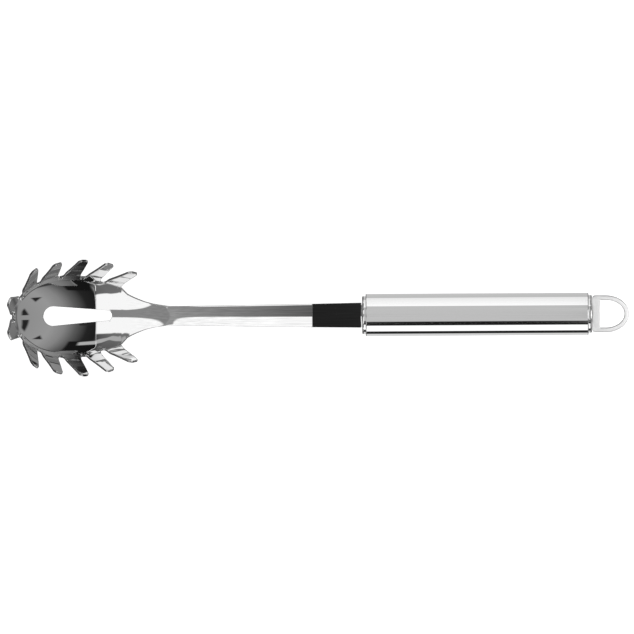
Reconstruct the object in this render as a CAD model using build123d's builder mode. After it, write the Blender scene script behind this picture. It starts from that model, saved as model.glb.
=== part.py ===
from build123d import *
import math
import os

os.makedirs("parts", exist_ok=True)

# Lengths are in millimetres. The tool lies face up along X, with the head at -X and the
# hanging eye at +X. The underside of the bowl and of the handle tube both touch Z = 0.

# Sheet that the head, its prongs and the shank are stamped from
sheet = 1.5
bowl_length = 58.4
bowl_width = 43.8
bowl_side = 9.72
rim_height = 11.0
front_reach = 2.35
low_point = 45.0
front_slope = -0.45

# Neck and shank
neck_length = 25.1
neck_height = 7.4
neck_slope = 0.12
shank_length = 102.6
shank_narrow = 10.3
shank_wide = 13.4
crown_radius = 43.0
flatten_length = 45.8
arch_distance = 28.5
arch_length = 4.0
arch_height = 12.9
arch_slope = 0.03
tang_slope = -0.04
tang_length = 13.0
tang_width = 12.0

# Drain slot
slot_start = 17.0
slot_length = 36.3
slot_wide = 10.3
slot_narrow = 5.3

# Prongs, six on each side, counted from the front
prong_length = 16.5
tip_width = 4.8
tip_round = 1.4
root_depth = 0.7
notch_depth = 0.8
notch_reach = 2.4

# Handle tube and its two end caps
tube_length = 118.2
tube_diameter = 22.5
tube_wall = 1.0
tube_round = 0.9
cap_fit = 0.2
cap_depth = 5.5
cap_face = 2.5
cap_wall = 1.2
front_cap_stand = 1.9
front_cap_round = 0.6
rear_cap_stand = 1.8
rear_cap_round = 0.6

# Hanging eye
eye_thickness = 3.0
eye_height = 19.5
eye_bar = 4.1
eye_side = 7.3
eye_bow = 12.2
eye_strand = 2.4
eye_gap = 0.2
eye_round = 0.5
eye_corner = 1.6
tenon_width = 8.0
tenon_thickness = 2.2
tenon_tail = 1.6

# Weld beads inside the caps, and the clearances between pieces
bead_width = 2.0
bead_height = 1.4
weld_fit = 0.1
slot_fit = 0.15
cut_over = 5.0

# Where the rim lies at each gap between prongs: shares of the bowl's length, from the
# front, and of its half width
rim_shares = [
    (0.0, 0.0),
    (0.082, 0.52),
    (0.243, 0.838),
    (0.445, 0.982),
    (0.65, 0.975),
    (0.824, 0.835),
    (1.01, 0.72),
]

# Neck edge: shares of the neck's length, from the bowl, and of its flare beyond the shank
neck_shares = [(0.0, 1.0), (0.13, 0.64), (0.4, 0.33), (0.61, 0.16), (0.78, 0.08)]

# Each prong's lean towards +X and outwards, and its base's part of the space between gaps
lean_shares = [
    (-0.182, 0.206),
    (0.198, 0.62),
    (0.309, 0.52),
    (0.421, 0.52),
    (0.59, 0.485),
    (0.71, 0.38),
]
base_shares = [0.9, 0.84, 0.74, 0.73, 0.7, 0.82]

# Where the neck meets the last prong, as a share of the bowl's half width
corner_share = 0.66

# Stations along X, worked out from the sizes above
overall_length = (
    front_reach + bowl_length + neck_length + shank_length + front_cap_stand
    + tube_length + rear_cap_stand + eye_gap + eye_side + eye_bow
)
front_x = front_reach - overall_length / 2
bowl_end_x = front_x + bowl_length
neck_x = bowl_end_x + neck_length
cap_x = neck_x + shank_length
tube_x = cap_x + front_cap_stand
tube_end_x = tube_x + tube_length
rear_cap_x = tube_end_x + rear_cap_stand
eye_x = rear_cap_x + eye_gap
axis_z = tube_diameter / 2
bore_radius = tube_diameter / 2 - tube_wall
cap_radius = bore_radius - cap_fit
corner_y = bowl_width / 2 * corner_share
bowl_radius = ((bowl_width / 2) ** 2 + bowl_side**2) / (2 * bowl_side)

# The slot takes the middle of the bowl away, so the bowl stands on the slot's edges at its
# low point, and its centre line runs lower than the sheet's own thickness there
low_share = (low_point - slot_start - slot_wide / 2) / (
    slot_length - slot_wide / 2 - slot_narrow / 2
)
slot_half = (slot_wide + (slot_narrow - slot_wide) * low_share) / 2
low_height = sheet - bowl_radius + math.sqrt(bowl_radius**2 - slot_half**2)

# Centre line of the sheet's upper face: place, height and slope at each station
profile = [
    (front_x, rim_height, front_slope),
    (front_x + low_point, low_height, 0.0),
    (neck_x, neck_height, neck_slope),
    (cap_x - arch_distance, arch_height, arch_slope),
    (cap_x - arch_distance + arch_length, arch_height, -arch_slope),
    (cap_x, axis_z + sheet / 2, tang_slope),
]


def centre_height(x):
    """Height of the upper face on the centre line, a cubic curve between stations."""
    first, last = profile[0], profile[-1]
    if x <= first[0]:
        return first[1] + first[2] * (x - first[0])
    if x >= last[0]:
        return last[1] + last[2] * (x - last[0])
    for (x0, z0, m0), (x1, z1, m1) in zip(profile, profile[1:]):
        if x <= x1:
            span = x1 - x0
            t = (x - x0) / span
            rise = z0 + (z1 - z0) * (3 * t**2 - 2 * t**3)
            return rise + span * (m0 * (t**3 - 2 * t**2 + t) + m1 * (t**3 - t**2))


def side_rise(x, y):
    """Height of the upper face at y over its centre line: hollow in the bowl, crowned on the shank."""
    t = min(max((bowl_end_x + flatten_length - x) / flatten_length, 0), 1)
    hollow = t * t * (3 - 2 * t)
    bend = hollow / bowl_radius - (1 - hollow) / crown_radius
    return bend * y**2 / (1 + math.sqrt(1 - (bend * y) ** 2))


def face_point(x, y):
    """Point of the sheet's upper face over a place in plan."""
    return Vector(x, y, centre_height(x) + side_rise(x, y))


def face_normal(x, y):
    """Upward unit normal of the sheet's upper face."""
    step = sheet / 100
    along = face_point(x + step, y) - face_point(x - step, y)
    across = face_point(x, y + step) - face_point(x, y - step)
    return along.cross(across).normalized()


def rim_place(number, side):
    """Place in plan of the rim at one gap between prongs."""
    x_share, y_share = rim_shares[number]
    return (front_x + x_share * bowl_length, side * y_share * bowl_width / 2)


def base_chord(number):
    """Length in plan of the rim between two neighbouring gaps."""
    x0, y0 = rim_place(number, 1)
    x1, y1 = rim_place(number + 1, 1)
    return math.hypot(x1 - x0, y1 - y0)


def gap_half(number):
    """Half the width of the notch between two neighbouring prongs, at its bottom."""
    after = (1 - base_shares[number]) * base_chord(number) / 2
    before = after
    if number > 0:
        before = (1 - base_shares[number - 1]) * base_chord(number - 1) / 2
    return (before + after) / 2


def prong_plane(number, side):
    """Plane of one prong, in the middle of its thickness, at the centre of its base."""
    x0, y0 = rim_place(number, side)
    x1, y1 = rim_place(number + 1, side)
    middle = ((x0 + x1) / 2, (y0 + y1) / 2)
    origin = face_point(*middle) - face_normal(*middle) * (sheet / 2)
    edge = (face_point(x1, y1) - face_point(x0, y0)).normalized()
    return Plane(origin=origin, x_dir=edge, z_dir=edge.cross(prong_lean(number, side)))


def notch_plane(number, side):
    """Plane of one notch, square to the sheet, at the centre of its round bottom."""
    lean = prong_lean(number, side)
    lean += prong_lean(number - 1, side) if number > 0 else prong_lean(0, -side)
    place = rim_place(number, side)
    normal = face_normal(*place)
    outward = (lean - normal * lean.dot(normal)).normalized()
    reach = gap_half(number) - notch_depth
    origin = face_point(*place) - normal * (sheet / 2) + outward * reach
    return Plane(origin=origin, x_dir=outward, z_dir=normal)


def prong_lean(number, side):
    """Unit vector from the centre of a prong's base to the centre of its tip."""
    along, outward = lean_shares[number]
    return Vector(along, side * outward, math.sqrt(1 - along**2 - outward**2))


# Upper face of the sheet, wide and long enough for the outline to trim
face_start = front_x - notch_depth - sheet
face_end = cap_x + tang_length + sheet
face_half = bowl_width / 2 + sheet
rows = 80
columns = 17
face_points = []
for row in range(rows + 1):
    face_x = face_start + (face_end - face_start) * row / rows
    places = [face_half * (2 * column / columns - 1) for column in range(columns + 1)]
    face_points.append([face_point(face_x, place) for place in places])
upper_face = Face.make_surface_from_array_of_points(face_points)

# Head and shank: one stamping with the bowl, the prongs, the drain slot, the neck and the tang
with BuildPart() as head_and_shank:
    thicken(upper_face, amount=sheet, normal_override=(0, 0, -1))
    with BuildSketch(Plane.XY.offset(-cut_over)) as outline:
        with BuildLine():
            rim = [rim_place(number, 1) for number in range(len(rim_shares) - 1, 0, -1)]
            rim += [rim_place(number, -1) for number in range(len(rim_shares))]
            Spline(*rim)
            for side in (1, -1):
                flare = corner_y - shank_narrow / 2
                edge_points = [
                    (bowl_end_x + x_share * neck_length, side * (shank_narrow / 2 + y_share * flare))
                    for x_share, y_share in neck_shares
                ]
                edge_points.append((neck_x, side * shank_narrow / 2))
                Spline(*edge_points)
                Line(rim_place(len(rim_shares) - 1, side), edge_points[0])
                Polyline(
                    edge_points[-1],
                    (cap_x, side * shank_wide / 2),
                    (cap_x, side * tang_width / 2),
                    (cap_x + tang_length, side * tang_width / 2),
                )
            Line(
                (cap_x + tang_length, tang_width / 2),
                (cap_x + tang_length, -tang_width / 2),
            )
        make_face()
    extrude(amount=arch_height + rim_height + cut_over, mode=Mode.INTERSECT)

    for number in range(len(lean_shares)):
        for side in (1, -1):
            plane = prong_plane(number, side)
            tip = prong_lean(number, side) * prong_length
            tip_u = tip.dot(plane.x_dir)
            tip_v = tip.dot(plane.y_dir)
            half_base = base_shares[number] * base_chord(number) / 2
            with BuildSketch(plane) as prong:
                with BuildLine():
                    Polyline(
                        (-half_base, -root_depth),
                        (-half_base, 0),
                        (tip_u - tip_width / 2, tip_v),
                        (tip_u + tip_width / 2, tip_v),
                        (half_base, 0),
                        (half_base, -root_depth),
                        close=True,
                    )
                make_face()
                fillet(prong.vertices().sort_by(Axis.Y)[-2:], radius=tip_round)
            extrude(amount=sheet / 2, both=True)

    for number in range(len(lean_shares)):
        for side in (1, -1) if number > 0 else (1,):
            with BuildSketch(notch_plane(number, side)):
                Circle(gap_half(number))
                Rectangle(notch_reach, 2 * gap_half(number), align=(Align.MIN, Align.CENTER))
            extrude(amount=sheet * 2, both=True, mode=Mode.SUBTRACT)

    with BuildSketch(Plane.XY.offset(-cut_over)) as slot:
        with Locations((front_x + slot_start + slot_wide / 2, 0)):
            Circle(slot_wide / 2)
        with Locations((front_x + slot_start + slot_length - slot_narrow / 2, 0)):
            Circle(slot_narrow / 2)
        make_hull()
    extrude(amount=rim_height + cut_over, mode=Mode.SUBTRACT)

head_and_shank.part.label = "head_and_shank"
export_step(head_and_shank.part, "parts/head_and_shank.step")

# Plane across the tang where it enters the front cap, square to the tang
tang_direction = Vector(1, 0, tang_slope).normalized()
tang_plane = Plane(origin=(cap_x, 0, axis_z), x_dir=(0, 1, 0), z_dir=tang_direction)
crown_drop = crown_radius - math.sqrt(crown_radius**2 - (shank_wide / 2) ** 2)
tang_height = sheet + crown_drop
slot_height = tang_height + 2 * slot_fit

# Front cap: a drawn cup pressed into the tube, slotted for the tang
with BuildPart() as front_cap:
    with BuildSketch(Plane.YZ.offset(cap_x)):
        with Locations((0, axis_z)):
            Circle(cap_radius)
    extrude(amount=front_cap_stand + cap_depth)
    fillet(front_cap.edges().group_by(Axis.X)[0], radius=front_cap_round)
    with BuildSketch(Plane.YZ.offset(cap_x + cap_face)):
        with Locations((0, axis_z)):
            Circle(cap_radius - cap_wall)
    extrude(amount=front_cap_stand + cap_depth, mode=Mode.SUBTRACT)
    with BuildSketch(tang_plane):
        with Locations((0, -crown_drop / 2)):
            Rectangle(tang_width + 2 * slot_fit, slot_height)
    extrude(amount=cut_over, both=True, mode=Mode.SUBTRACT)

front_cap.part.label = "front_cap"
export_step(front_cap.part, "parts/front_cap.step")

# Bead of weld round the tang, on the inner side of the front cap
with BuildPart() as shank_weld:
    with BuildSketch(Plane.YZ.offset(cap_x + cap_face)):
        with Locations((0, axis_z - crown_drop / 2 + tang_slope * cap_face)):
            RectangleRounded(
                tang_width + 2 * bead_width, tang_height + 2 * bead_width, bead_width / 2
            )
    extrude(amount=bead_height)
    with BuildSketch(tang_plane):
        with Locations((0, -crown_drop / 2)):
            Rectangle(tang_width + 2 * weld_fit, tang_height + 2 * weld_fit)
    extrude(amount=cut_over * 2, mode=Mode.SUBTRACT)

shank_weld.part.label = "shank_weld"
export_step(shank_weld.part, "parts/shank_weld.step")

# Handle tube, open at both ends, with rounded outer edges
with BuildPart() as handle_tube:
    with BuildSketch(Plane.YZ.offset(tube_x)):
        with Locations((0, axis_z)):
            Circle(tube_diameter / 2)
            Circle(bore_radius, mode=Mode.SUBTRACT)
    extrude(amount=tube_length)
    ends = handle_tube.edges().filter_by(GeomType.CIRCLE)
    outer_ends = ends.filter_by(lambda edge: edge.radius > (bore_radius + axis_z) / 2)
    fillet(outer_ends, radius=tube_round)

handle_tube.part.label = "handle_tube"
export_step(handle_tube.part, "parts/handle_tube.step")

# Rear cap: a drawn cup pressed into the tube, slotted for the tenon of the hanging eye
with BuildPart() as rear_cap:
    with BuildSketch(Plane.YZ.offset(rear_cap_x)):
        with Locations((0, axis_z)):
            Circle(cap_radius)
    extrude(amount=-rear_cap_stand - cap_depth)
    fillet(rear_cap.edges().group_by(Axis.X)[-1], radius=rear_cap_round)
    with BuildSketch(Plane.YZ.offset(rear_cap_x - cap_face)):
        with Locations((0, axis_z)):
            Circle(cap_radius - cap_wall)
    extrude(amount=-rear_cap_stand - cap_depth, mode=Mode.SUBTRACT)
    with BuildSketch(Plane.YZ.offset(rear_cap_x)):
        with Locations((0, axis_z)):
            Rectangle(tenon_width + 2 * slot_fit, tenon_thickness + 2 * slot_fit)
    extrude(amount=-cap_face, mode=Mode.SUBTRACT)

rear_cap.part.label = "rear_cap"
export_step(rear_cap.part, "parts/rear_cap.step")

# Bead of weld round the tenon, on the inner side of the rear cap
with BuildPart() as eye_weld:
    with BuildSketch(Plane.YZ.offset(rear_cap_x - cap_face)):
        with Locations((0, axis_z)):
            RectangleRounded(
                tenon_width + 2 * bead_width, tenon_thickness + 2 * bead_width, bead_width / 2
            )
            Rectangle(
                tenon_width + 2 * weld_fit, tenon_thickness + 2 * weld_fit, mode=Mode.SUBTRACT
            )
    extrude(amount=-bead_height)

eye_weld.part.label = "eye_weld"
export_step(eye_weld.part, "parts/eye_weld.step")

# Hanging eye: a flat plate with a crossbar, a bowed loop and a tenon into the rear cap
with BuildPart() as hanging_eye:
    with BuildSketch(Plane.XY.offset(axis_z - eye_thickness / 2)) as plate:
        with BuildLine():
            EllipticalCenterArc(
                (eye_x + eye_side, 0), eye_bow, eye_height / 2, start_angle=-90, arc_size=180
            )
            Polyline(
                (eye_x + eye_side, eye_height / 2),
                (eye_x, eye_height / 2),
                (eye_x, -eye_height / 2),
                (eye_x + eye_side, -eye_height / 2),
            )
        make_face()
        fillet(plate.vertices().sort_by(Axis.X)[:2], radius=eye_corner)
        with BuildLine():
            EllipticalCenterArc(
                (eye_x + eye_side, 0),
                eye_bow - eye_strand,
                eye_height / 2 - eye_strand,
                start_angle=-90,
                arc_size=180,
            )
            Polyline(
                (eye_x + eye_side, eye_height / 2 - eye_strand),
                (eye_x + eye_bar, eye_height / 2 - eye_strand),
                (eye_x + eye_bar, eye_strand - eye_height / 2),
                (eye_x + eye_side, eye_strand - eye_height / 2),
            )
        make_face(mode=Mode.SUBTRACT)
    extrude(amount=eye_thickness)
    fillet(hanging_eye.faces().filter_by(Axis.Z).edges(), radius=eye_round)
    tenon_length = eye_gap + cap_face + bead_height + tenon_tail
    with BuildSketch(Plane.YZ.offset(eye_x + eye_round)):
        with Locations((0, axis_z)):
            Rectangle(tenon_width, tenon_thickness)
    extrude(amount=-tenon_length - eye_round)

hanging_eye.part.label = "hanging_eye"
export_step(hanging_eye.part, "parts/hanging_eye.step")
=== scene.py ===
"""Pasta server in polished and brushed steel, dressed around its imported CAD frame."""

import math

import bmesh
import bpy
from mathutils import Matrix, Vector


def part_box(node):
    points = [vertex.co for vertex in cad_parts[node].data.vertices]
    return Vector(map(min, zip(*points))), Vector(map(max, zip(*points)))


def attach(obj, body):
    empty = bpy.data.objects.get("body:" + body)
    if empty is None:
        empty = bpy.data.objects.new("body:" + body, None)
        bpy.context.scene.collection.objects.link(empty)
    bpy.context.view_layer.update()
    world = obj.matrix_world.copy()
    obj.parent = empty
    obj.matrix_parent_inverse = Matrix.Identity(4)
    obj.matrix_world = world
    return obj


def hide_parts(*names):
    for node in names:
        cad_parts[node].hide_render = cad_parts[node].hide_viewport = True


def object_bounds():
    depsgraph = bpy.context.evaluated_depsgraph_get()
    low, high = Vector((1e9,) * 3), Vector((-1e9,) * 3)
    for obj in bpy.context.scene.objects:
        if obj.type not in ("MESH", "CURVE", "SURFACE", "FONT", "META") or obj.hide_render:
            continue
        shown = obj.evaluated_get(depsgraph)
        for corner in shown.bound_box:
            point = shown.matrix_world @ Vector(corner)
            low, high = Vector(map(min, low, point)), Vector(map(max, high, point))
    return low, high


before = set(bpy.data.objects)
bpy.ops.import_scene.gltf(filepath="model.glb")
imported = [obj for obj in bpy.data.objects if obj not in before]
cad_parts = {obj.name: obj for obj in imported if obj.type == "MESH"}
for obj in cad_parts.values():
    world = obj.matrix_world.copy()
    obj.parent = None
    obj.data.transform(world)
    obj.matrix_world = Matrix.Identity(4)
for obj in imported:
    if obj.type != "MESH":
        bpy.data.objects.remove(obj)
cad_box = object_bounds()

MM = 0.001

# Sheet of the head and shank, in millimetres
SHEET = 1.5
SHEET_EDGE = 0.22
BOWL_LENGTH = 58.4
BOWL_WIDTH = 43.8
BOWL_SIDE = 9.72
RIM_HEIGHT = 11.0
LOW_POINT = 45.0
LOW_HEIGHT = 1.34
LOW_LENGTH = 0.8
LOW_SLOPE = 0.03
FRONT_SLOPE = -0.45
BAND_RISE = 0.5
BAND_START_SHARE = 0.9
BAND_SOFT_SHARE = 0.12
BAND_FADE_SHARE = 2 / 3

# Neck and shank
NECK_LENGTH = 25.1
NECK_HEIGHT = 7.4
NECK_SLOPE = 0.12
SHANK_LENGTH = 102.6
SHANK_NARROW = 10.3
SHANK_WIDE = 13.4
CROWN_RADIUS = 43.0
FLATTEN_LENGTH = 45.8
ARCH_DISTANCE = 26.8
ARCH_LENGTH = 0.6
ARCH_HEIGHT = 12.9
ARCH_SLOPE = 0.03
TANG_SLOPE = -0.04
TANG_LENGTH = 13.0
TANG_WIDTH = 12.0
SHOULDER = 0.3
CORNER_SHARE = 0.66

# Drain slot
SLOT_START = 17.0
SLOT_LENGTH = 36.3
SLOT_WIDE = 10.3
SLOT_NARROW = 5.3

# Prongs
PRONG_LENGTH = 16.5
TIP_WIDTH = 4.8
TIP_ROUND = 1.4
NOTCH_DEPTH = 0.8
BEND_LENGTH = 4.2
PRONG_BULGE = 0.3

# Handle, caps and eye, with a ring of vertices a little behind each cap's rounded edge
TUBE_WALL = 1.0
TUBE_ROUND = 0.4
CAP_DEPTH = 5.5
CAP_FACE = 2.5
CAP_WALL = 1.2
CAP_RING = 0.25
FRONT_CAP_ROUND = 0.6
REAR_CAP_ROUND = 0.6
SLOT_FIT = 0.15
EYE_LENGTH = 19.5
EYE_BAR = 4.1
EYE_SIDE = 7.3
EYE_STRAND = 2.4
EYE_CORNER = 1.6
EYE_ROUND = 0.5
TENON_WIDTH = 8.0
TENON_THICKNESS = 2.2

# How finely the meshes are divided
PRONG_COLUMNS = 10
FILLET_ROWS = 5
PRONG_ROWS = 14
TIP_ROWS = 5
BOWL_RINGS = 26
RING_POWER = 1.4
NECK_COLUMNS = 18
SHANK_ROWS = 84
TURN_STEPS = 192
ROUND_STEPS = 8
EDGE_STEPS = 4
FACE_SHARES = (0.0, 0.35, 0.7)
BOW_STEPS = 48
SIDE_STEPS = 6
BAR_STEPS = 8
HOLE_CORNER_SHARE = 0.18
NORMAL_WEIGHT = 80

# A normal's step, how far apart one point or one station may lie, and the least divisor and root
NORMAL_STEP = 0.015
JOIN_REACH = 0.0075
DISSOLVE_REACH = 0.003
STATION_SLACK = 0.0015
NEAR_ZERO = 1e-9
ROOT_LEAST_SHARE = 0.05

# Rim at each gap between prongs: shares of the bowl's length and of its half width
RIM_SHARES = [
    (0.0, 0.0),
    (0.082, 0.52),
    (0.243, 0.838),
    (0.445, 0.982),
    (0.65, 0.975),
    (0.824, 0.835),
    (1.01, 0.72),
]

# Neck edge: shares of the neck's length and of its flare beyond the shank
NECK_SHARES = [(0.0, 1.0), (0.13, 0.64), (0.4, 0.33), (0.61, 0.16), (0.78, 0.08), (1.0, 0.0)]

# Each prong's lean towards +X and outwards, and its base's part of the space between gaps
LEAN_SHARES = [
    (-0.182, 0.206),
    (0.198, 0.62),
    (0.309, 0.52),
    (0.421, 0.52),
    (0.59, 0.485),
    (0.71, 0.38),
]
BASE_SHARES = [0.9, 0.84, 0.74, 0.73, 0.7, 0.82]


def box_mm(node):
    """Lowest and highest corners of a CAD node, in millimetres."""
    low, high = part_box(node)
    return Vector(low) / MM, Vector(high) / MM


# Places taken from the frame
tube_low, tube_high = box_mm("handle_tube")
front_cap_low, front_cap_high = box_mm("front_cap")
rear_cap_low, rear_cap_high = box_mm("rear_cap")
eye_low, eye_high = box_mm("hanging_eye")
axis_z = (tube_low.z + tube_high.z) / 2
tube_radius = (tube_high.z - tube_low.z) / 2
cap_radius = (front_cap_high.z - front_cap_low.z) / 2
cap_x = front_cap_low.x
neck_x = cap_x - SHANK_LENGTH
bowl_end_x = neck_x - NECK_LENGTH
front_x = bowl_end_x - BOWL_LENGTH
bowl_radius = ((BOWL_WIDTH / 2) ** 2 + BOWL_SIDE**2) / (2 * BOWL_SIDE)
corner_y = BOWL_WIDTH / 2 * CORNER_SHARE
eye_x = eye_high.x - EYE_LENGTH
slot_left_x = front_x + SLOT_START + SLOT_WIDE / 2
slot_right_x = front_x + SLOT_START + SLOT_LENGTH - SLOT_NARROW / 2

profile = [
    (front_x, RIM_HEIGHT, FRONT_SLOPE),
    (front_x + LOW_POINT - LOW_LENGTH / 2, LOW_HEIGHT, -LOW_SLOPE),
    (front_x + LOW_POINT + LOW_LENGTH / 2, LOW_HEIGHT, LOW_SLOPE),
    (neck_x, NECK_HEIGHT, NECK_SLOPE),
    (cap_x - ARCH_DISTANCE, ARCH_HEIGHT, ARCH_SLOPE),
    (cap_x - ARCH_DISTANCE + ARCH_LENGTH, ARCH_HEIGHT, -ARCH_SLOPE),
    (cap_x, axis_z + SHEET / 2, TANG_SLOPE),
]


def smooth(value):
    """Smooth step from 0 to 1."""
    t = min(max(value, 0.0), 1.0)
    return t * t * (3 - 2 * t)


def centre_height(x):
    """Height of the sheet's upper face on its centre line."""
    first, last = profile[0], profile[-1]
    if x <= first[0]:
        return first[1] + first[2] * (x - first[0])
    if x >= last[0]:
        return last[1] + last[2] * (x - last[0])
    for (x0, z0, m0), (x1, z1, m1) in zip(profile, profile[1:]):
        if x <= x1:
            span = x1 - x0
            t = (x - x0) / span
            rise = z0 + (z1 - z0) * (3 * t**2 - 2 * t**3)
            return rise + span * (m0 * (t**3 - 2 * t**2 + t) + m1 * (t**3 - t**2))


def band_rise(x, y):
    """Extra height of the narrow band just inside the rim, fading out towards the neck."""
    half_length = BOWL_LENGTH / 2 + NOTCH_DEPTH
    from_centre = math.hypot((x - front_x - half_length) / half_length, y / (BOWL_WIDTH / 2))
    share = (from_centre - BAND_START_SHARE) / (1 - BAND_START_SHARE)
    if share <= 0:
        return 0.0
    past_fade = (x - front_x) / BOWL_LENGTH - BAND_FADE_SHARE
    fade = 1 - smooth(past_fade / (1 - BAND_FADE_SHARE))
    return BAND_RISE * fade * share**2 / (share + BAND_SOFT_SHARE)


def face_height(x, y):
    """Height of the sheet's upper face over a place in plan."""
    hollow = smooth((bowl_end_x + FLATTEN_LENGTH - x) / FLATTEN_LENGTH)
    bend = hollow / bowl_radius - (1 - hollow) / CROWN_RADIUS
    side = bend * y**2 / (1 + math.sqrt(max(1 - (bend * y) ** 2, ROOT_LEAST_SHARE)))
    return centre_height(x) + side + band_rise(x, y)


def face_point(x, y):
    """Point of the sheet's upper face over a place in plan."""
    return Vector((x, y, face_height(x, y)))


def face_normal(x, y):
    """Upward unit normal of the sheet's upper face."""
    along = face_point(x + NORMAL_STEP, y) - face_point(x - NORMAL_STEP, y)
    across = face_point(x, y + NORMAL_STEP) - face_point(x, y - NORMAL_STEP)
    return along.cross(across).normalized()


def rim_place(number, side):
    """Place in plan of the prongs' base line at one gap."""
    x_share, y_share = RIM_SHARES[number]
    return Vector((front_x + x_share * BOWL_LENGTH, side * y_share * BOWL_WIDTH / 2))


def notch_place(number, side):
    """Place in plan of the bottom of one gap between prongs."""
    if number == len(RIM_SHARES) - 1:
        return Vector((bowl_end_x, side * corner_y))
    before = rim_place(number - 1, side) if number > 0 else rim_place(1, -side)
    along = rim_place(number + 1, side) - before
    inward = Vector((along.y, -along.x)).normalized() * side
    return rim_place(number, side) + inward * NOTCH_DEPTH


def curve_point(points, number, share):
    """Point on a smooth curve through plan points, between one point and the next."""
    before = points[number - 1] if number > 0 else 2 * points[0] - points[1]
    last = number + 2 < len(points)
    after = points[number + 2] if last else 2 * points[number + 1] - points[number]
    p0, p1, p2, p3 = before, points[number], points[number + 1], after
    t = share
    return 0.5 * (
        2 * p1 + (p2 - p0) * t + (2 * p0 - 5 * p1 + 4 * p2 - p3) * t**2
        + (3 * p1 - p0 - 3 * p2 + p3) * t**3
    )


def rim_curve(number, side, share):
    """Point in plan on the rim line between two gaps."""
    points = [notch_place(1, -side)] + [notch_place(i, side) for i in range(len(RIM_SHARES))]
    return curve_point(points, number + 1, share)


def slot_place(place):
    """Point of the slot's edge that faces a place in plan."""
    centre_x = min(max(place.x, slot_left_x), slot_right_x)
    away = place - Vector((centre_x, 0.0))
    share = (centre_x - slot_left_x) / (slot_right_x - slot_left_x)
    radius = (SLOT_WIDE + (SLOT_NARROW - SLOT_WIDE) * share) / 2
    return Vector((centre_x, 0.0)) + away.normalized() * radius


def prong_lean(number, side):
    """Unit vector from the centre of a prong's base to the centre of its tip."""
    along, outward = LEAN_SHARES[number]
    return Vector((along, side * outward, math.sqrt(1 - along**2 - outward**2)))


def prong_frame(number, side):
    """Centre of a prong's base on the upper face, and its directions along, up and inwards."""
    x0, y0 = rim_place(number, side)
    x1, y1 = rim_place(number + 1, side)
    middle = ((x0 + x1) / 2, (y0 + y1) / 2)
    edge = (face_point(x1, y1) - face_point(x0, y0)).normalized()
    normal = edge.cross(prong_lean(number, side)).normalized()
    inside = normal if normal.z > 0 else -normal
    centre = face_point(*middle) - face_normal(*middle) * (SHEET / 2)
    centre.z -= band_rise(*middle)
    return centre + inside * (SHEET / 2), edge, normal.cross(edge), inside


class Grid:
    """Collects patches of points and makes one mesh of them."""

    def __init__(self):
        self.mesh = bmesh.new()

    def patch(self, rows):
        """Adds one patch, given as rows of points."""
        made = [[self.mesh.verts.new(point) for point in row] for row in rows]
        for one, two in zip(made, made[1:]):
            for i in range(len(one) - 1):
                self.mesh.faces.new((one[i], one[i + 1], two[i + 1], two[i]))

    def join(self):
        """Joins the patches where they meet and turns all faces one way."""
        bmesh.ops.remove_doubles(self.mesh, verts=self.mesh.verts, dist=JOIN_REACH)
        bmesh.ops.dissolve_degenerate(self.mesh, edges=self.mesh.edges, dist=DISSOLVE_REACH)
        bmesh.ops.recalc_face_normals(self.mesh, faces=self.mesh.faces)


def bowl_patches(grid):
    """The bowl from the slot's edge to the rim and to the start of the neck."""
    def sector(places):
        rows = []
        for ring in range(BOWL_RINGS + 1):
            share = 1 - (1 - ring / BOWL_RINGS) ** RING_POWER
            row = []
            for place in places:
                inner = slot_place(place)
                spot = inner + (place - inner) * share
                row.append(face_point(spot.x, spot.y))
            rows.append(row)
        grid.patch(rows)

    for side in (1, -1):
        for number in range(len(LEAN_SHARES)):
            shares = [k / PRONG_COLUMNS for k in range(PRONG_COLUMNS + 1)]
            sector([rim_curve(number, side, share) for share in shares])
    spots = [corner_y * (1 - 2 * k / NECK_COLUMNS) for k in range(NECK_COLUMNS + 1)]
    sector([Vector((bowl_end_x, y)) for y in spots])


def gap_half(number):
    """Half the width of the gap between two neighbouring prongs, at its bottom."""
    def spare(index):
        chord = (rim_place(index + 1, 1) - rim_place(index, 1)).length
        return (1 - BASE_SHARES[index]) * chord / 2

    last = len(LEAN_SHARES) - 1
    before = spare(min(max(number - 1, 0), last))
    after = spare(min(number, last))
    return (before + after) / 2


def fillet_width(height, radius):
    """How far a prong's foot flares beyond its side at a height over the gap's bottom."""
    if height >= radius:
        return 0.0
    return radius - math.sqrt(radius**2 - (radius - height) ** 2)


def prong_heights(foot, tip_height):
    """Heights of a prong's rows over its base line: its flared foot, its face and its round tip."""
    start = -NOTCH_DEPTH
    low, high = start + foot, tip_height - TIP_ROUND
    heights = [start + foot * (1 - math.cos(math.pi / 2 * i / FILLET_ROWS)) for i in range(FILLET_ROWS)]
    heights += [low + (high - low) * i / PRONG_ROWS for i in range(PRONG_ROWS)]
    return heights + [high + TIP_ROUND * i / TIP_ROWS for i in range(TIP_ROWS + 1)]


def round_tip(across, height, half, tip_height):
    """Place across and up a prong, with the tip's square corners drawn in to round ones."""
    start = tip_height - TIP_ROUND
    rise, run = height - start, abs(across) - (half - TIP_ROUND)
    if rise <= 0 or run <= 0:
        return across, height
    drawn = half - TIP_ROUND + run * math.sqrt(1 - rise**2 / (2 * TIP_ROUND**2))
    return math.copysign(drawn, across), start + rise * math.sqrt(1 - run**2 / (2 * TIP_ROUND**2))


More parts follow.
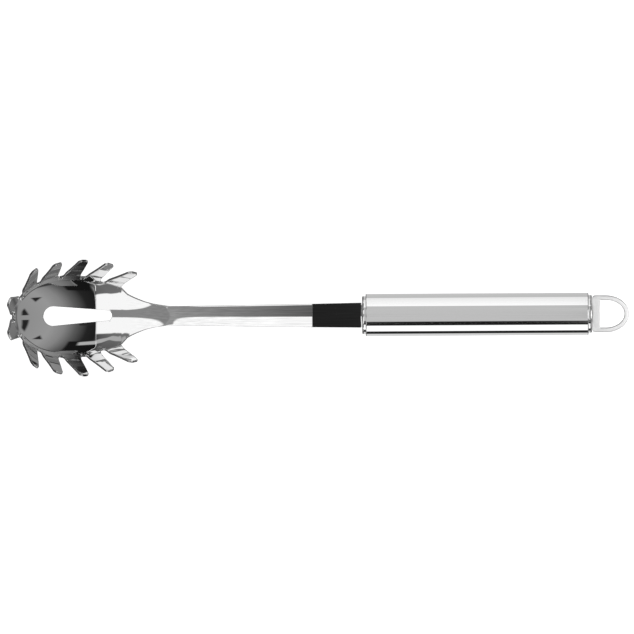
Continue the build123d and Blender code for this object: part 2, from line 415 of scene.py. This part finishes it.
def prong_patch(grid, number, side):
    """One prong: a flared foot, a smooth bend out of the bowl's wall, a flat face, a round tip."""
    centre, edge, outward, inside = prong_frame(number, side)
    tip = prong_lean(number, side) * PRONG_LENGTH
    tip_u, tip_v = tip.dot(edge), tip.dot(outward)
    base_half = BASE_SHARES[number] * (rim_place(number + 1, 1) - rim_place(number, 1)).length / 2
    radii = (gap_half(number), gap_half(number + 1))
    start = -NOTCH_DEPTH
    rows = []
    for height in prong_heights(max(radii), tip_v):
        share = min(max(height / tip_v, 0.0), 1.0)
        half = base_half + (TIP_WIDTH / 2 - base_half) * share
        left = half + fillet_width(height - start, radii[0])
        right = half + fillet_width(height - start, radii[1])
        row = []
        for k in range(PRONG_COLUMNS + 1):
            across = 2 * k / PRONG_COLUMNS - 1
            u, v = round_tip(across * (left if across < 0 else right), height, half, tip_v)
            bulge = 4 * PRONG_BULGE * share * (1 - share)
            flat = centre + edge * (tip_u * v / tip_v + u) + outward * v + inside * bulge
            bent = smooth((v - start) / BEND_LENGTH)
            foot_half = base_half + (radii[0] if across < 0 else radii[1])
            foot_flat = centre + edge * (tip_u * start / tip_v + across * foot_half) + outward * start
            rim = rim_curve(number, side, k / PRONG_COLUMNS)
            x = flat.x + (rim.x - foot_flat.x) * (1 - bent)
            y = flat.y + (rim.y - foot_flat.y) * (1 - bent)
            row.append(Vector((x, y, face_height(x, y) * (1 - bent) + flat.z * bent)))
        rows.append(row)
    grid.patch(rows)


def shank_half(x):
    """Half the width of the neck, the shank and the tang at a place along the tool."""
    if x < neck_x:
        flare = corner_y - SHANK_NARROW / 2
        points = [Vector((a * NECK_LENGTH, SHANK_NARROW / 2 + b * flare)) for a, b in NECK_SHARES]
        along = x - bowl_end_x
        number = max(i for i in range(len(points) - 1) if points[i].x <= along + STATION_SLACK)
        share = (along - points[number].x) / (points[number + 1].x - points[number].x)
        return curve_point(points, number, share).y
    if x < cap_x - SHOULDER:
        return (SHANK_NARROW + (SHANK_WIDE - SHANK_NARROW) * (x - neck_x) / SHANK_LENGTH) / 2
    return TANG_WIDTH / 2


def shank_patch(grid):
    """The neck, the shank and the tang, row by row along the tool, with three rows on the crest."""
    end_x = cap_x + TANG_LENGTH
    run = cap_x - 2 * SHOULDER - bowl_end_x
    evenly = [bowl_end_x + run * i / SHANK_ROWS for i in range(SHANK_ROWS + 1)]
    crest_x = cap_x - ARCH_DISTANCE + ARCH_LENGTH / 2
    stations = [x for x in evenly if abs(x - crest_x) > ARCH_LENGTH]
    stations += [crest_x - ARCH_LENGTH / 2, crest_x, crest_x + ARCH_LENGTH / 2]
    stations.sort()
    stations += [cap_x - SHOULDER, cap_x, (cap_x + end_x) / 2, end_x]
    rows = []
    for x in stations:
        half = shank_half(x)
        sideways = [half * (1 - 2 * k / NECK_COLUMNS) for k in range(NECK_COLUMNS + 1)]
        rows.append([face_point(x, y) for y in sideways])
    grid.patch(rows)


def quarter_round(size, steps):
    """Pairs of offsets in from two faces along a rounded edge, from (size, 0) to (0, size)."""
    angles = [math.pi / 2 * step / steps for step in range(steps + 1)]
    return [(size * (1 - math.sin(angle)), size * (1 - math.cos(angle))) for angle in angles]


def sheet_mesh(surface, thickness, edge_round):
    """Closed bmesh of a sheet under a surface, with its edges rounded."""
    surface.verts.ensure_lookup_table()
    surface.normal_update()
    following, previous = {}, {}
    for edge in surface.edges:
        if edge.is_boundary:
            loop = edge.link_loops[0]
            following[loop.vert] = loop.link_loop_next.vert
            previous[loop.link_loop_next.vert] = loop.vert
    section = quarter_round(edge_round, EDGE_STEPS)
    solid = bmesh.new()
    upper, lower, rings = {}, {}, {}
    for vert in surface.verts:
        normal = vert.normal
        if vert not in following:
            upper[vert] = solid.verts.new(vert.co)
            lower[vert] = solid.verts.new(vert.co - normal * thickness)
            continue
        tangent = (following[vert].co - previous[vert].co).normalized()
        away = tangent.cross(normal).normalized()
        ring = []
        for back, down in section:
            ring.append(solid.verts.new(vert.co - away * back - normal * down))
        for back, up in reversed(section):
            ring.append(solid.verts.new(vert.co - away * back - normal * (thickness - up)))
        rings[vert] = ring
        upper[vert], lower[vert] = ring[0], ring[-1]
    for face in surface.faces:
        solid.faces.new([upper[vert] for vert in face.verts])
        solid.faces.new([lower[vert] for vert in reversed(face.verts)])
    for vert, after in following.items():
        for one, two, three, four in zip(rings[vert], rings[vert][1:], rings[after][1:], rings[after]):
            solid.faces.new((one, two, three, four))
    bmesh.ops.recalc_face_normals(solid, faces=solid.faces)
    return solid


def finish_piece(mesh, name, nodes, material):
    """Turn a bmesh in millimetres into a smooth object that stands for CAD nodes."""
    bmesh.ops.scale(mesh, vec=(MM, MM, MM), verts=mesh.verts)
    data = bpy.data.meshes.new(name)
    mesh.to_mesh(data)
    mesh.free()
    data.polygons.foreach_set("use_smooth", [True] * len(data.polygons))
    piece = bpy.data.objects.new(name, data)
    bpy.context.collection.objects.link(piece)
    data.materials.append(material)
    even = piece.modifiers.new("even_normals", "WEIGHTED_NORMAL")
    even.mode = "FACE_AREA"
    even.weight = NORMAL_WEIGHT
    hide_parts(*nodes)
    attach(piece, "root")


def bridge(mesh, one, two):
    """Faces between two closed rings of vertices."""
    for i in range(len(one)):
        j = (i + 1) % len(one)
        mesh.faces.new((one[i], one[j], two[j], two[i]))


def lathe_mesh(outline, closed=False):
    """Bmesh of an outline of (x, radius) points turned about the handle's axis."""
    turned = bmesh.new()
    rings = []
    for x, radius in outline:
        ring = []
        for step in range(TURN_STEPS):
            angle = 2 * math.pi * step / TURN_STEPS
            ring.append(turned.verts.new((x, radius * math.cos(angle), axis_z + radius * math.sin(angle))))
        rings.append(ring)
    pairs = list(zip(rings, rings[1:]))
    if closed:
        pairs.append((rings[-1], rings[0]))
    for one, two in pairs:
        bridge(turned, one, two)
    return turned, rings


def corner(x, radius, x_way, radius_way, size):
    """Points of a turned piece's rounded corner, from the side to the end face."""
    points = []
    for inwards, across in quarter_round(size, ROUND_STEPS):
        points.append((x + x_way * inwards, radius + radius_way * across))
    return points


def tube_mesh():
    """The handle tube, open at both ends."""
    bore = tube_radius - TUBE_WALL
    outline = list(reversed(corner(tube_low.x, tube_radius, 1, -1, TUBE_ROUND)))
    outline += corner(tube_high.x, tube_radius, -1, -1, TUBE_ROUND)
    outline += [(tube_high.x, bore), (tube_low.x, bore)]
    turned = lathe_mesh(outline, closed=True)[0]
    bmesh.ops.recalc_face_normals(turned, faces=turned.faces)
    return turned


def slot_outline(half_width, top, bottom):
    """Slot's edge round the handle's axis, one point for each turning step."""
    points = []
    for step in range(TURN_STEPS):
        angle = 2 * math.pi * step / TURN_STEPS
        y, z = math.cos(angle), math.sin(angle)
        sideways = half_width / max(abs(y), NEAR_ZERO)
        upright = (top if z > 0 else bottom) / max(abs(z), NEAR_ZERO)
        reach = min(sideways, upright)
        points.append((reach * y, reach * z))
    return points


def cap_mesh(face_x, way, edge_round, half_width, top, bottom):
    """An end cap: a rounded cup with a slot through its face."""
    flange = abs(face_x - (tube_low.x if way > 0 else tube_high.x))
    depth = CAP_DEPTH + flange
    outline = list(reversed(corner(face_x, cap_radius, way, -1, edge_round)))
    for reach in (edge_round + CAP_RING, flange + CAP_WALL, depth):
        outline.append((face_x + way * reach, cap_radius))
    for reach in (depth, CAP_FACE):
        outline.append((face_x + way * reach, cap_radius - CAP_WALL))
    turned, rings = lathe_mesh(outline)
    edge = slot_outline(half_width, top, bottom)
    front_rows, back_rows = [], []
    back_x = face_x + way * CAP_FACE
    for x, ring, rows in ((face_x, rings[0], front_rows), (back_x, rings[-1], back_rows)):
        for share in FACE_SHARES:
            row = []
            for i, (y, z) in enumerate(edge):
                start = Vector((x, y, axis_z + z))
                row.append(turned.verts.new(start.lerp(ring[i].co, share)))
            rows.append(row)
        rows.append(ring)
    strips = list(zip(front_rows, front_rows[1:])) + list(zip(back_rows, back_rows[1:]))
    strips.append((front_rows[0], back_rows[0]))
    for one, two in strips:
        bridge(turned, one, two)
    bmesh.ops.recalc_face_normals(turned, faces=turned.faces)
    return turned


def eye_loops():
    """Outer and inner outlines of the hanging eye in plan, point for point."""
    centre_x = eye_x + EYE_SIDE
    half = (eye_high.y - eye_low.y) / 2
    bow = eye_high.x - centre_x
    hole_x = eye_x + EYE_BAR
    hole_half = half - EYE_STRAND
    outer, inner = [], []
    for step in range(BOW_STEPS + 1):
        angle = math.pi * (step / BOW_STEPS - 1 / 2)
        outer.append(Vector((centre_x + bow * math.cos(angle), half * math.sin(angle))))
        hole_bow = (bow - EYE_STRAND) * math.cos(angle)
        inner.append(Vector((centre_x + hole_bow, hole_half * math.sin(angle))))
    for way in (1, -1):
        outs, ins = [], []
        for step in range(1, SIDE_STEPS + 1):
            share = step / SIDE_STEPS
            outs.append(Vector((centre_x + (eye_x + EYE_CORNER - centre_x) * share, way * half)))
            ins.append(Vector((centre_x + (hole_x - centre_x) * share, way * hole_half)))
        for step, (in_x, in_y) in enumerate(quarter_round(EYE_CORNER, SIDE_STEPS)[1:], 1):
            share = HOLE_CORNER_SHARE * step / SIDE_STEPS
            outs.append(Vector((eye_x + in_x, way * (half - in_y))))
            ins.append(Vector((hole_x, way * hole_half * (1 - share))))
        for step in range(1, BAR_STEPS):
            left = 1 - step / BAR_STEPS
            outs.append(Vector((eye_x, way * (half - EYE_CORNER) * left)))
            ins.append(Vector((hole_x, way * hole_half * (1 - HOLE_CORNER_SHARE) * left)))
        if way > 0:
            outer += outs + [Vector((eye_x, 0.0))]
            inner += ins + [Vector((hole_x, 0.0))]
        else:
            outer += list(reversed(outs))
            inner += list(reversed(ins))
    return outer, inner


def eye_mesh():
    """The flat hanging eye with its edges rounded, and its tenon into the rear cap."""
    outer, inner = eye_loops()
    plate = bmesh.new()
    count = len(outer)
    top, bottom = eye_high.z, eye_low.z
    section = quarter_round(EYE_ROUND, EDGE_STEPS)

    def off_plate(points, i, way):
        tangent = (points[(i + 1) % count] - points[i - 1]).normalized()
        return Vector((tangent.y, -tangent.x)) * way

    columns = []
    for i in range(count):
        away_outer = off_plate(outer, i, 1)
        away_inner = off_plate(inner, i, -1)
        column = []
        for back, down in section:
            column.append((outer[i] - away_outer * back, top - down))
        for back, down in reversed(section):
            column.append((outer[i] - away_outer * back, bottom + down))
        for back, down in section:
            column.append((inner[i] - away_inner * back, bottom + down))
        for back, down in reversed(section):
            column.append((inner[i] - away_inner * back, top - down))
        columns.append([plate.verts.new((place.x, place.y, z)) for place, z in column])
    for i in range(count):
        bridge(plate, columns[i], columns[(i + 1) % count])
    corners = []
    for x in (eye_low.x, eye_x + EYE_ROUND):
        ring = []
        for y, z in ((-1, -1), (1, -1), (1, 1), (-1, 1)):
            ring.append(plate.verts.new((x, y * TENON_WIDTH / 2, axis_z + z * TENON_THICKNESS / 2)))
        corners.append(ring)
    plate.faces.new(corners[0])
    plate.faces.new(reversed(corners[1]))
    bridge(plate, *corners)
    bmesh.ops.recalc_face_normals(plate, faces=plate.faces)
    return plate


# Steel: detail of the brush marks, the noise values that show as marks, and the roughness spread
MARK_DETAIL = 4.0
MARK_RANGE = (0.3, 0.7)
ROUGH_SPREAD_SHARE = 0.3


def map_range(tree, value, before, after):
    """Node that maps a value from one range to another."""
    node = tree.nodes.new("ShaderNodeMapRange")
    for socket, limit in zip(("From Min", "From Max", "To Min", "To Max"), before + after):
        node.inputs[socket].default_value = limit
    tree.links.new(value, node.inputs["Value"])
    return node


def steel(name, color, roughness, marks, depth, contrast, start_x=None):
    """Steel with fine brush marks in roughness, relief and colour, the colour's from start_x on."""
    material = bpy.data.materials.new(name)
    material.use_nodes = True
    tree = material.node_tree
    nodes, links = tree.nodes, tree.links
    shader = nodes["Principled BSDF"]
    shader.inputs["Metallic"].default_value = 1.0
    place = nodes.new("ShaderNodeTexCoord").outputs["Object"]
    stretch = nodes.new("ShaderNodeMapping")
    stretch.inputs["Scale"].default_value = (marks[0], marks[1], marks[1])
    links.new(place, stretch.inputs["Vector"])
    noise = nodes.new("ShaderNodeTexNoise")
    noise.inputs["Scale"].default_value = 1.0
    noise.inputs["Detail"].default_value = MARK_DETAIL
    links.new(stretch.outputs["Vector"], noise.inputs["Vector"])
    lines = noise.outputs["Fac"]
    spread = roughness * ROUGH_SPREAD_SHARE
    rough = map_range(tree, lines, (0.0, 1.0), (roughness - spread, roughness + spread))
    links.new(rough.outputs["Result"], shader.inputs["Roughness"])
    dark, bright = color * (1 - contrast), color * (1 + contrast)
    tint = map_range(tree, lines, MARK_RANGE, (dark, bright))
    if start_x is not None:
        apart = nodes.new("ShaderNodeSeparateXYZ")
        links.new(place, apart.inputs["Vector"])
        fade = (start_x * MM, (start_x + NECK_LENGTH) * MM)
        for socket, full in (("To Min", dark), ("To Max", bright)):
            grow = map_range(tree, apart.outputs["X"], fade, (color, full))
            links.new(grow.outputs["Result"], tint.inputs[socket])
    shade = nodes.new("ShaderNodeCombineColor")
    for channel in ("Red", "Green", "Blue"):
        links.new(tint.outputs["Result"], shade.inputs[channel])
    links.new(shade.outputs["Color"], shader.inputs["Base Color"])
    bump = nodes.new("ShaderNodeBump")
    bump.inputs["Strength"].default_value = 1.0
    bump.inputs["Distance"].default_value = depth
    links.new(lines, bump.inputs["Height"])
    links.new(bump.outputs["Normal"], shader.inputs["Normal"])
    return material


# Materials: marks a metre along and across the tool, and their depth in metres
head_steel = steel(
    "polished_sheet", color=0.84, roughness=0.03, marks=(12.0, 1500.0), depth=1e-7, contrast=0.12,
    start_x=bowl_end_x,
)
tube_steel = steel(
    "brushed_tube", color=0.84, roughness=0.02, marks=(2.0, 3500.0), depth=1e-8, contrast=0.04,
)
cap_steel = steel(
    "polished_cap", color=0.84, roughness=0.03, marks=(300.0, 300.0), depth=5e-9, contrast=0.02,
)
eye_steel = steel(
    "satin_eye", color=0.9, roughness=0.5, marks=(1200.0, 1200.0), depth=1e-6, contrast=0.04,
)
weld_steel = steel(
    "weld_bead", color=0.55, roughness=0.45, marks=(800.0, 800.0), depth=2e-5, contrast=0.1,
)

# Head and shank
head = Grid()
bowl_patches(head)
for side in (1, -1):
    for number in range(len(LEAN_SHARES)):
        prong_patch(head, number, side)
shank_patch(head)
head.join()
neck_place = Vector((neck_x, 0.0, NECK_HEIGHT))
neck_face = min(head.mesh.faces, key=lambda face: (face.calc_center_median() - neck_place).length)
if neck_face.normal.z < 0:
    bmesh.ops.reverse_faces(head.mesh, faces=head.mesh.faces)
sheet_solid = sheet_mesh(head.mesh, SHEET, SHEET_EDGE)
head.mesh.free()
finish_piece(sheet_solid, "server_head", ["head_and_shank"], head_steel)

# Handle
crown_drop = CROWN_RADIUS - math.sqrt(CROWN_RADIUS**2 - (SHANK_WIDE / 2) ** 2)
finish_piece(tube_mesh(), "round_tube", ["handle_tube"], tube_steel)
front_mesh = cap_mesh(
    cap_x, 1, FRONT_CAP_ROUND, TANG_WIDTH / 2 + SLOT_FIT,
    SHEET / 2 + SLOT_FIT, SHEET / 2 + crown_drop + SLOT_FIT,
)
finish_piece(front_mesh, "cap_at_shank", ["front_cap"], cap_steel)
rear_mesh = cap_mesh(
    rear_cap_high.x, -1, REAR_CAP_ROUND, TENON_WIDTH / 2 + SLOT_FIT,
    TENON_THICKNESS / 2 + SLOT_FIT, TENON_THICKNESS / 2 + SLOT_FIT,
)
finish_piece(rear_mesh, "cap_at_eye", ["rear_cap"], cap_steel)
finish_piece(eye_mesh(), "eye_plate", ["hanging_eye"], eye_steel)

for node in ("shank_weld", "eye_weld"):
    bead = bpy.data.objects[node]
    bead.data.materials.clear()
    bead.data.materials.append(weld_steel)

# Pale floor: half its side in metres, its drop under the model in millimetres, and its paint
FLOOR_HALF = 1.2
FLOOR_DROP = 0.05
FLOOR_GREY = 0.9
FLOOR_ROUGHNESS = 0.9
FLOOR_GLOW = 0.9
floor_z = cad_box[0][2] - FLOOR_DROP * MM
floor_mesh = bpy.data.meshes.new("floor")
floor_mesh.from_pydata(
    [(x * FLOOR_HALF, y * FLOOR_HALF, floor_z) for x, y in ((-1, -1), (1, -1), (1, 1), (-1, 1))],
    [],
    [(0, 1, 2, 3)],
)
floor = bpy.data.objects.new("floor", floor_mesh)
bpy.context.collection.objects.link(floor)
floor_paint = bpy.data.materials.new("floor_paint")
floor_paint.use_nodes = True
paint = floor_paint.node_tree.nodes["Principled BSDF"]
paint.inputs["Base Color"].default_value = (FLOOR_GREY, FLOOR_GREY, FLOOR_GREY, 1)
paint.inputs["Roughness"].default_value = FLOOR_ROUGHNESS
paint.inputs["Emission Color"].default_value = (1, 1, 1, 1)
paint.inputs["Emission Strength"].default_value = FLOOR_GLOW
floor_mesh.materials.append(floor_paint)
floor.visible_glossy = False

# Studio: what the steel reflects, by each ray's turn about the tool's length, in degrees from
# straight up towards -Y, and by its tilt along +X
world = bpy.data.worlds.new("studio")
bpy.context.scene.world = world
world.use_nodes = True
nodes, links = world.node_tree.nodes, world.node_tree.links
background = nodes["Background"]


def node_of(kind, *inputs, **settings):
    """Shader node with its settings, and its inputs set or linked in order."""
    node = nodes.new(kind)
    for name, value in settings.items():
        setattr(node, name, value)
    for socket, value in zip(node.inputs, inputs):
        if isinstance(value, (int, float, tuple)):
            socket.default_value = value
        else:
            links.new(value, socket)
    return node


def combine(operation, one, two):
    """Result of a mathematical operation on two values."""
    return node_of("ShaderNodeMath", one, two, operation=operation).outputs[0]


def edge_share(value, place, soft, rising):
    """Share that goes from 0 to 1 across a soft edge, or from 1 to 0."""
    half = soft / 2 if rising else -soft / 2
    return node_of("ShaderNodeMapRange", value, place - half, place + half, 0.0, 1.0).outputs["Result"]


def mixed(share, one, two):
    """Mix of two colours by a share."""
    node = nodes.new("ShaderNodeMix")
    node.data_type = "RGBA"
    colors = [socket for socket in node.inputs if socket.type == "RGBA"]
    for socket, value in zip([node.inputs[0]] + colors, (share, one, two)):
        if isinstance(value, tuple):
            socket.default_value = value
        else:
            links.new(value, socket)
    return [socket for socket in node.outputs if socket.type == "RGBA"][0]


def grey(value):
    """Neutral colour of one brightness."""
    return (value, value, value, 1.0)


def ramp(value, low, high, stops):
    """Brightness by a value between low and high, with straight lines between the stops."""
    node = nodes.new("ShaderNodeValToRGB")
    elements = node.color_ramp.elements
    for number, (place, brightness) in enumerate(stops):
        share = (place - low) / (high - low)
        element = elements[number] if number < 2 else elements.new(share)
        element.position = share
        element.color = grey(brightness)
    links.new(edge_share(value, (low + high) / 2, high - low, True), node.inputs[0])
    return node.outputs["Color"]


ray = node_of("ShaderNodeTexCoord").outputs["Generated"]
split = node_of("ShaderNodeSeparateXYZ", ray)
tilt = split.outputs["X"]
rise = split.outputs["Z"]
toward = combine("MULTIPLY", split.outputs["Y"], -1.0)
turn = combine("MULTIPLY", combine("ARCTAN2", toward, rise), 180 / math.pi)

# Brightness by tilt where no card hangs, with the tilt bowed towards +X at the sides
TILT_STOPS = [
    (-1.0, 0.06), (-0.72, 0.1), (-0.55, 0.6), (-0.45, 1.1), (-0.06, 1.1), (0.0, 0.9), (0.006, 0.3),
    (0.012, 0.012), (0.1, 0.02), (0.19, 0.12), (0.28, 0.27), (0.4, 0.36), (0.55, 0.33), (0.74, 0.3),
    (0.8, 0.1), (0.84, 0.22), (1.0, 0.28),
]
BOW = 0.09
BOW_TURN = 90.0

# Cards: corners as (turn, tilt) counter-clockwise, brightness at the lowest and highest tilt, and
# how soft the edges are
CARDS = [
    (((88, -0.6), (112, -0.6), (112, -0.12), (88, -0.12)), (0.55, 0.6), 0.03),
    (((88, -0.12), (112, -0.12), (112, 0.02), (88, 0.02)), (0.3, 0.22), 0.02),
    (((112, -0.6), (181, -0.6), (181, 0.02), (112, 0.02)), (0.1, 0.1), 0.02),
    (((92, 0.02), (181, 0.02), (181, 0.13), (92, 0.13)), (0.03, 0.08), 0.02),
    (((90, 0.13), (181, 0.13), (181, 1.1), (90, 1.1)), (0.14, 0.3), 0.05),
    (((150, 0.1), (181, 0.1), (181, 1.1), (150, 1.1)), (0.06, 0.1), 0.05),
    (((-112, -0.6), (-90, -0.6), (-90, -0.12), (-112, -0.12)), (0.4, 0.75), 0.02),
    (((-112, -0.12), (-90, -0.12), (-90, 0.02), (-112, 0.02)), (0.34, 0.3), 0.02),
    (((-181, -0.6), (-112, -0.6), (-112, 0.02), (-181, 0.02)), (0.12, 0.12), 0.02),
    (((-181, 0.02), (-88, 0.02), (-88, 0.13), (-181, 0.13)), (0.3, 0.2), 0.03),
    (((-181, 0.13), (-90, 0.13), (-90, 1.1), (-181, 1.1)), (0.18, 0.3), 0.05),
    (((-181, 0.1), (-150, 0.1), (-150, 1.1), (-181, 1.1)), (0.05, 0.08), 0.05),
    (((58, -0.45), (80, -0.45), (80, 0.08), (47, 0.03)), (0.22, 0.12), 0.03),
    (((-86, -0.5), (-33, -0.5), (-35, 0.03), (-86, 0.1)), (0.26, 0.03), 0.03),
    (((57, 0.06), (96, 0.03), (96, 0.2), (60, 0.2)), (0.008, 0.01), 0.02),
    (((-97, 0.0), (-62, 0.0), (-51, 0.1), (-51, 0.21), (-97, 0.21)), (0.008, 0.01), 0.02),
    (((-50, -0.3), (-40, -0.3), (-53, 0.14), (-60, 0.14)), (0.45, 0.5), 0.02),
    (((0, -0.6), (16, -0.6), (16, -0.228), (0, -0.228)), (0.3, 0.26), 0.015),
    (((-9, -0.242), (5, -0.242), (5, 0.012), (-12.5, 0.012)), (0.34, 0.04), 0.008),
    (((-17, 0.008), (19, 0.008), (19, 0.165), (-17, 0.165)), (0.012, 0.03), 0.01),
    (((-30, 0.61), (-3, 0.6), (-3, 0.66), (-22, 0.65)), (0.02, 0.02), 0.02),
    (((8, 0.6), (24, 0.62), (18, 0.65), (8, 0.66)), (0.02, 0.02), 0.02),
    (((-47, 0.42), (-38, 0.46), (-47, 0.5)), (0.02, 0.02), 0.02),
    (((47, 0.42), (47, 0.51), (37, 0.5)), (0.02, 0.02), 0.02),
    (((80, 0.15), (86, 0.15), (74, 0.42), (68, 0.4)), (0.05, 0.05), 0.02),
    (((68, 0.4), (74, 0.42), (52, 0.66), (47, 0.62)), (0.05, 0.05), 0.02),
    (((-86, 0.15), (-80, 0.15), (-68, 0.4), (-74, 0.42)), (0.05, 0.05), 0.02),
    (((-74, 0.42), (-68, 0.4), (-47, 0.62), (-52, 0.66)), (0.05, 0.05), 0.02),
]

# Strip lights and flags along the handle: brightness at each turn, and the tilts between which
# they hang
STRIP_STOPS = [
    (-180, 0.64), (-112, 0.6), (-108, 0.95), (-53, 1.2), (-51, 0.62), (32, 0.6), (35, 0.012),
    (56, 0.012), (58, 1.3), (96, 1.3), (98, 0.02), (120, 0.02), (123, 0.75), (180, 0.75),
]
STRIP_TILT = (-0.0008, 0.0105)
STRIP_SOFT = 0.002

# Even grey below everything: where it starts, how softly, and its brightness
NADIR_RISE = -0.85
NADIR_SOFT = 0.2
NADIR_GREY = 0.2

# Lamp beside the eye: its size and its place from the eye's middle, and its power in watts
LAMP_SIZE = 120.0
LAMP_OFFSET = (75.0, 0.0, 110.0)
LAMP_POWER = 0.085


def inside_card(corners, soft):
    """Share that is 1 inside a convex card and 0 outside it."""
    spots = [Vector((corner_turn / BOW_TURN, corner_tilt)) for corner_turn, corner_tilt in corners]
    share = 1.0
    for one, two in zip(spots, spots[1:] + spots[:1]):
        edge = (two - one).normalized()
        across = combine("MULTIPLY", turn, -edge.y / BOW_TURN)
        across = combine("ADD", across, combine("MULTIPLY", tilt, edge.x))
        within = edge_share(across, one.y * edge.x - one.x * edge.y, soft, True)
        share = combine("MULTIPLY", share, within)
    return share


def along_tilt(low, high, first, last):
    """Brightness that goes evenly from one value to another between two tilts."""
    share = edge_share(tilt, (low + high) / 2, high - low, True)
    return mixed(share, grey(first), grey(last))


sideways = combine("DIVIDE", turn, BOW_TURN)
sideways = combine("MINIMUM", combine("MULTIPLY", sideways, sideways), 1.0)
bowed_tilt = combine("SUBTRACT", tilt, combine("MULTIPLY", sideways, BOW))
studio = ramp(bowed_tilt, -1.0, 1.0, TILT_STOPS)
for corners, (first, last), soft in CARDS:
    tilts = [corner_tilt for corner_turn, corner_tilt in corners]
    shade = along_tilt(min(tilts), max(tilts), first, last)
    studio = mixed(inside_card(corners, soft), studio, shade)
studio = mixed(edge_share(rise, NADIR_RISE, NADIR_SOFT, False), studio, grey(NADIR_GREY))
strips = ramp(turn, -180.0, 180.0, STRIP_STOPS)
share = combine(
    "MULTIPLY",
    edge_share(tilt, STRIP_TILT[0], STRIP_SOFT, True),
    edge_share(tilt, STRIP_TILT[1], STRIP_SOFT, False),
)
studio = mixed(share, studio, strips)
seen_direct = node_of("ShaderNodeLightPath").outputs["Is Camera Ray"]
links.new(mixed(seen_direct, studio, grey(1.0)), background.inputs["Color"])

# Small soft lamp beside the satin eye, where the polished tube doesn't mirror it upwards
lamp_data = bpy.data.lights.new("eye_lamp", "AREA")
lamp_data.shape = "DISK"
lamp_data.size = LAMP_SIZE * MM
lamp_data.energy = LAMP_POWER
lamp = bpy.data.objects.new("eye_lamp", lamp_data)
bpy.context.collection.objects.link(lamp)
eye_middle = (eye_low + eye_high) / 2
lamp.location = (eye_middle + Vector(LAMP_OFFSET)) * MM
lamp.rotation_mode = "QUATERNION"
lamp.rotation_quaternion = Vector(LAMP_OFFSET).to_track_quat("Z", "Y")
lamp.visible_camera = False

# Camera far above, leaning a little towards +Y and turned a little, with its lengths in metres
CAMERA_DISTANCE = 16.0
FRAME_WIDTH = 0.3364
CAMERA_LEAN = math.radians(3.5)
CAMERA_TURN = math.radians(-0.33)
FRAME_CENTRE = Vector((-0.00053, -0.00085, 0.01125))
camera_data = bpy.data.cameras.new("camera")
camera_data.lens = camera_data.sensor_width * CAMERA_DISTANCE / FRAME_WIDTH
camera_data.clip_end = 2 * CAMERA_DISTANCE
camera = bpy.data.objects.new("camera", camera_data)
bpy.context.collection.objects.link(camera)
from_centre = Vector((0.0, math.sin(CAMERA_LEAN), math.cos(CAMERA_LEAN)))
camera.matrix_world = (
    Matrix.Translation(FRAME_CENTRE + from_centre * CAMERA_DISTANCE)
    @ Matrix.Rotation(-CAMERA_LEAN, 4, "X")
    @ Matrix.Rotation(CAMERA_TURN, 4, "Z")
)
bpy.context.scene.camera = camera
bpy.context.scene.view_settings.view_transform = "Standard"
